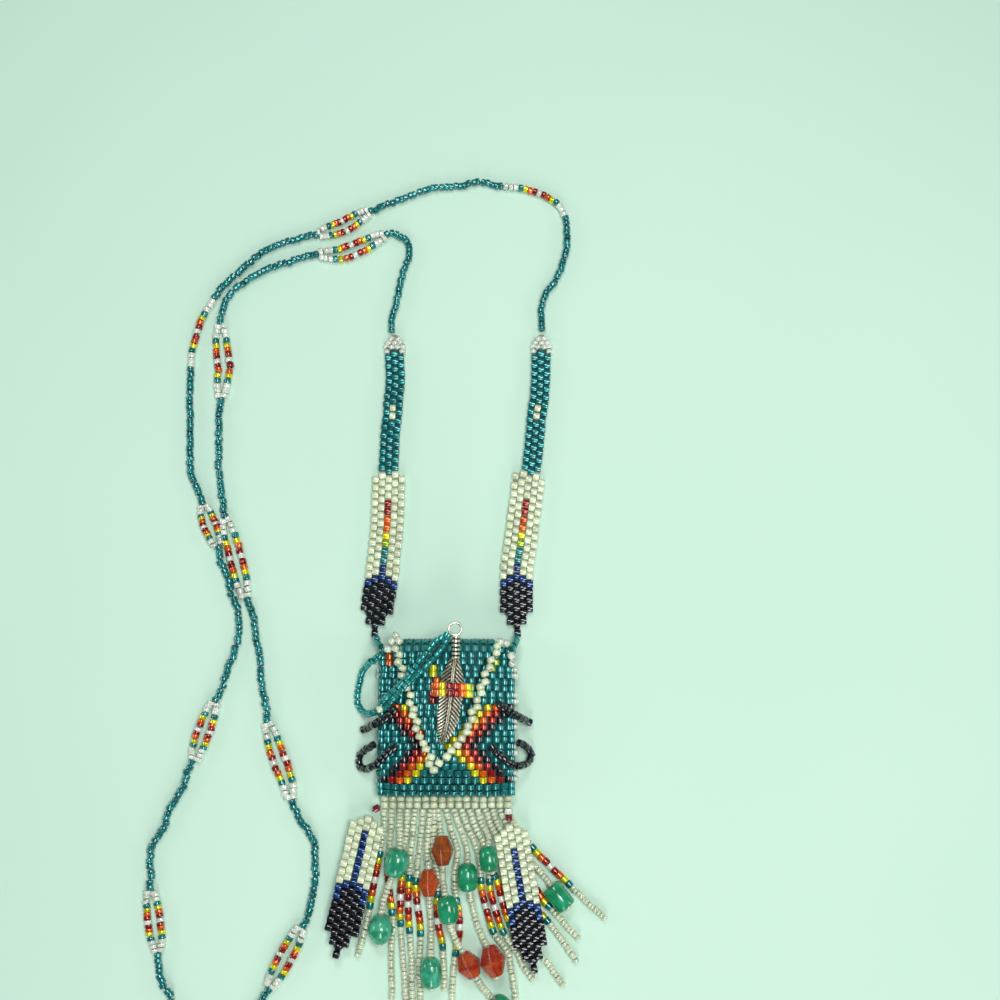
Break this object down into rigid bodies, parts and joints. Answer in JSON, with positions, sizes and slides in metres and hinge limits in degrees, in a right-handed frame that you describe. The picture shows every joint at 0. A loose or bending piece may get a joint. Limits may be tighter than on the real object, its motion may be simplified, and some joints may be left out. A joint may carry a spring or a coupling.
{
  "type": "beaded medicine bag",
  "caption": "Small woven bead pouch with a pointed flap, feather toggle, woven straps, long neck strand, side pendants and bead fringe.",
  "frame": {"origin": "middle of the pouch's flat underside, on the surface it lies on", "axes": "+Z out of the front, +Y from the fringe up to the straps, +X to the right seen from the front"},
  "size_m": [0.0878, 0.2125, 0.0127],
  "materials": {
    "teal_beads": "silver-lined teal glass seed beads, glossy",
    "white_beads": "pearl white glass seed beads, glossy",
    "orange_beads": "silver-lined orange, yellow and red glass seed beads",
    "red_beads": "silver-lined red glass seed beads",
    "dark_beads": "gunmetal glass seed beads with a metallic coat",
    "green_glass": "translucent green glass accent beads",
    "amber_glass": "translucent amber red glass accent beads",
    "silver_metal": "cast silver-tone metal, antiqued in its grooves"
  },
  "bodies": {
    "root": {"pouch_bag": "teal_beads", "flap": "teal_beads", "strap_left": "teal_beads", "strap_right": "teal_beads", "strap_link_left": "teal_beads", "strap_link_right": "teal_beads", "tether_loop": "teal_beads", "neck_strand": "teal_beads", "flap_edging": "white_beads", "base_edging": "white_beads", "side_edging_left": "white_beads", "side_edging_right": "white_beads", "pendant_left": "white_beads", "pendant_right": "white_beads", "fringe_01": "white_beads", "fringe_02": "white_beads", "fringe_03": "white_beads", "fringe_04": "white_beads", "fringe_05": "white_beads", "fringe_06": "white_beads", "fringe_07": "white_beads", "fringe_08": "white_beads", "fringe_09": "white_beads", "fringe_10": "white_beads", "fringe_11": "white_beads", "fringe_12": "white_beads", "fringe_13": "white_beads", "fringe_14": "white_beads", "fringe_15": "white_beads", "fringe_16": "white_beads", "fringe_17": "white_beads", "toggle_band": "orange_beads", "pendant_link_left": "red_beads", "pendant_link_right": "red_beads", "loop_left_upper": "dark_beads", "loop_right_upper": "dark_beads", "loop_left_lower": "dark_beads", "loop_right_lower": "dark_beads", "green_oval_left": "green_glass", "green_diamond_left": "green_glass", "green_oval_middle": "green_glass", "green_oval_lower": "green_glass", "green_oval_low_left": "green_glass", "green_slim_right": "green_glass", "green_cylinder_right": "green_glass", "green_oval_lowest": "green_glass", "amber_bicone_upper": "amber_glass", "amber_bicone_left": "amber_glass", "amber_bicone_low_left": "amber_glass", "amber_bicone_low_right": "amber_glass", "feather_charm": "silver_metal"}
  },
  "joints": []
}
